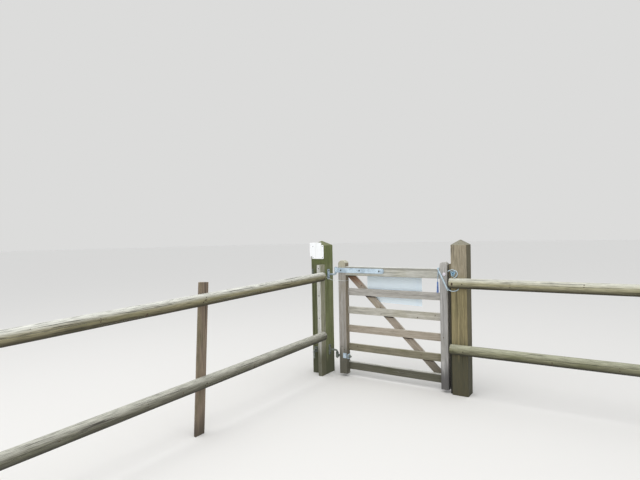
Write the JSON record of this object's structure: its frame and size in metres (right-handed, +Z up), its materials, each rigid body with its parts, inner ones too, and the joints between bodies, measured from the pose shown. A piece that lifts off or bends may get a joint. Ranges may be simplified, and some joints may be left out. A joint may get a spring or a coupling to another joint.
{
  "type": "timber hand gate with posts and half-round rail wings",
  "caption": "Weathered timber hand gate on hooks between two square posts, with a diagonal brace, a plain board and a wing of half-round rails at each side.",
  "frame": {"origin": "middle of the hanging post's foot, at ground level", "axes": "+X along the closed gate from the hanging post to the shutting post, +Y away from the approach side, +Z up"},
  "size_m": [3.494, 3.7708, 1.443],
  "materials": {
    "green_post_timber": "sawn softwood, weathered grey with green algae",
    "tan_post_timber": "sawn softwood, weathered golden tan",
    "batten_timber": "sawn softwood, pale on its front",
    "stake_timber": "half-round peeled softwood, weathered",
    "wing_rail_timber": "half-round peeled softwood, weathered straw grey",
    "stile_timber": "planed softwood, weathered pinkish grey",
    "rail_timber": "planed softwood, weathered tan and olive, muddy low down",
    "brace_timber": "planed softwood, weathered reddish brown",
    "zinc_steel": "hot-dip galvanised, weathered",
    "white_board": "plain white board",
    "white_plate": "plain white plate",
    "blue_rope": "twisted polypropylene rope, faded pale blue",
    "dark_blue_rope": "unfaded deep blue rope"
  },
  "bodies": {
    "fence": {"hanging_post": "green_post_timber", "shutting_post": "tan_post_timber", "hanging_batten": "batten_timber", "left_middle_stake": "stake_timber", "left_end_stake": "stake_timber", "right_end_stake": "stake_timber", "left_top_rail": "wing_rail_timber", "left_bottom_rail": "wing_rail_timber", "right_top_rail": "wing_rail_timber", "right_bottom_rail": "wing_rail_timber", "top_hook": "zinc_steel", "bottom_hook": "zinc_steel", "front_top_hook": "zinc_steel", "front_bottom_hook": "zinc_steel", "lower_plate": "white_plate", "upper_plate": "white_plate", "post_lashings": "blue_rope", "post_knot": "blue_rope"},
    "leaf": {"heel_stile": "stile_timber", "head_stile": "stile_timber", "top_rail": "rail_timber", "second_rail": "rail_timber", "third_rail": "rail_timber", "fourth_rail": "rail_timber", "fifth_rail": "rail_timber", "bottom_rail": "rail_timber", "diagonal_brace": "brace_timber", "sign_board": "white_board", "board_packers": "brace_timber", "double_strap": "zinc_steel", "eye_bolt": "zinc_steel", "eye_bolt_washers": "zinc_steel", "heel_plate": "zinc_steel", "head_stud": "zinc_steel", "leaf_lashing": "blue_rope", "rope_tail": "blue_rope", "rope_end": "dark_blue_rope"}
  },
  "joints": [
    {"name": "gate_hinge", "type": "hinge", "parent": "fence", "child": "leaf", "pos_m": [0.185, -0.0195, 1.105], "axis": [0, 0, 1], "range_deg": [-88, 90]}
  ]
}
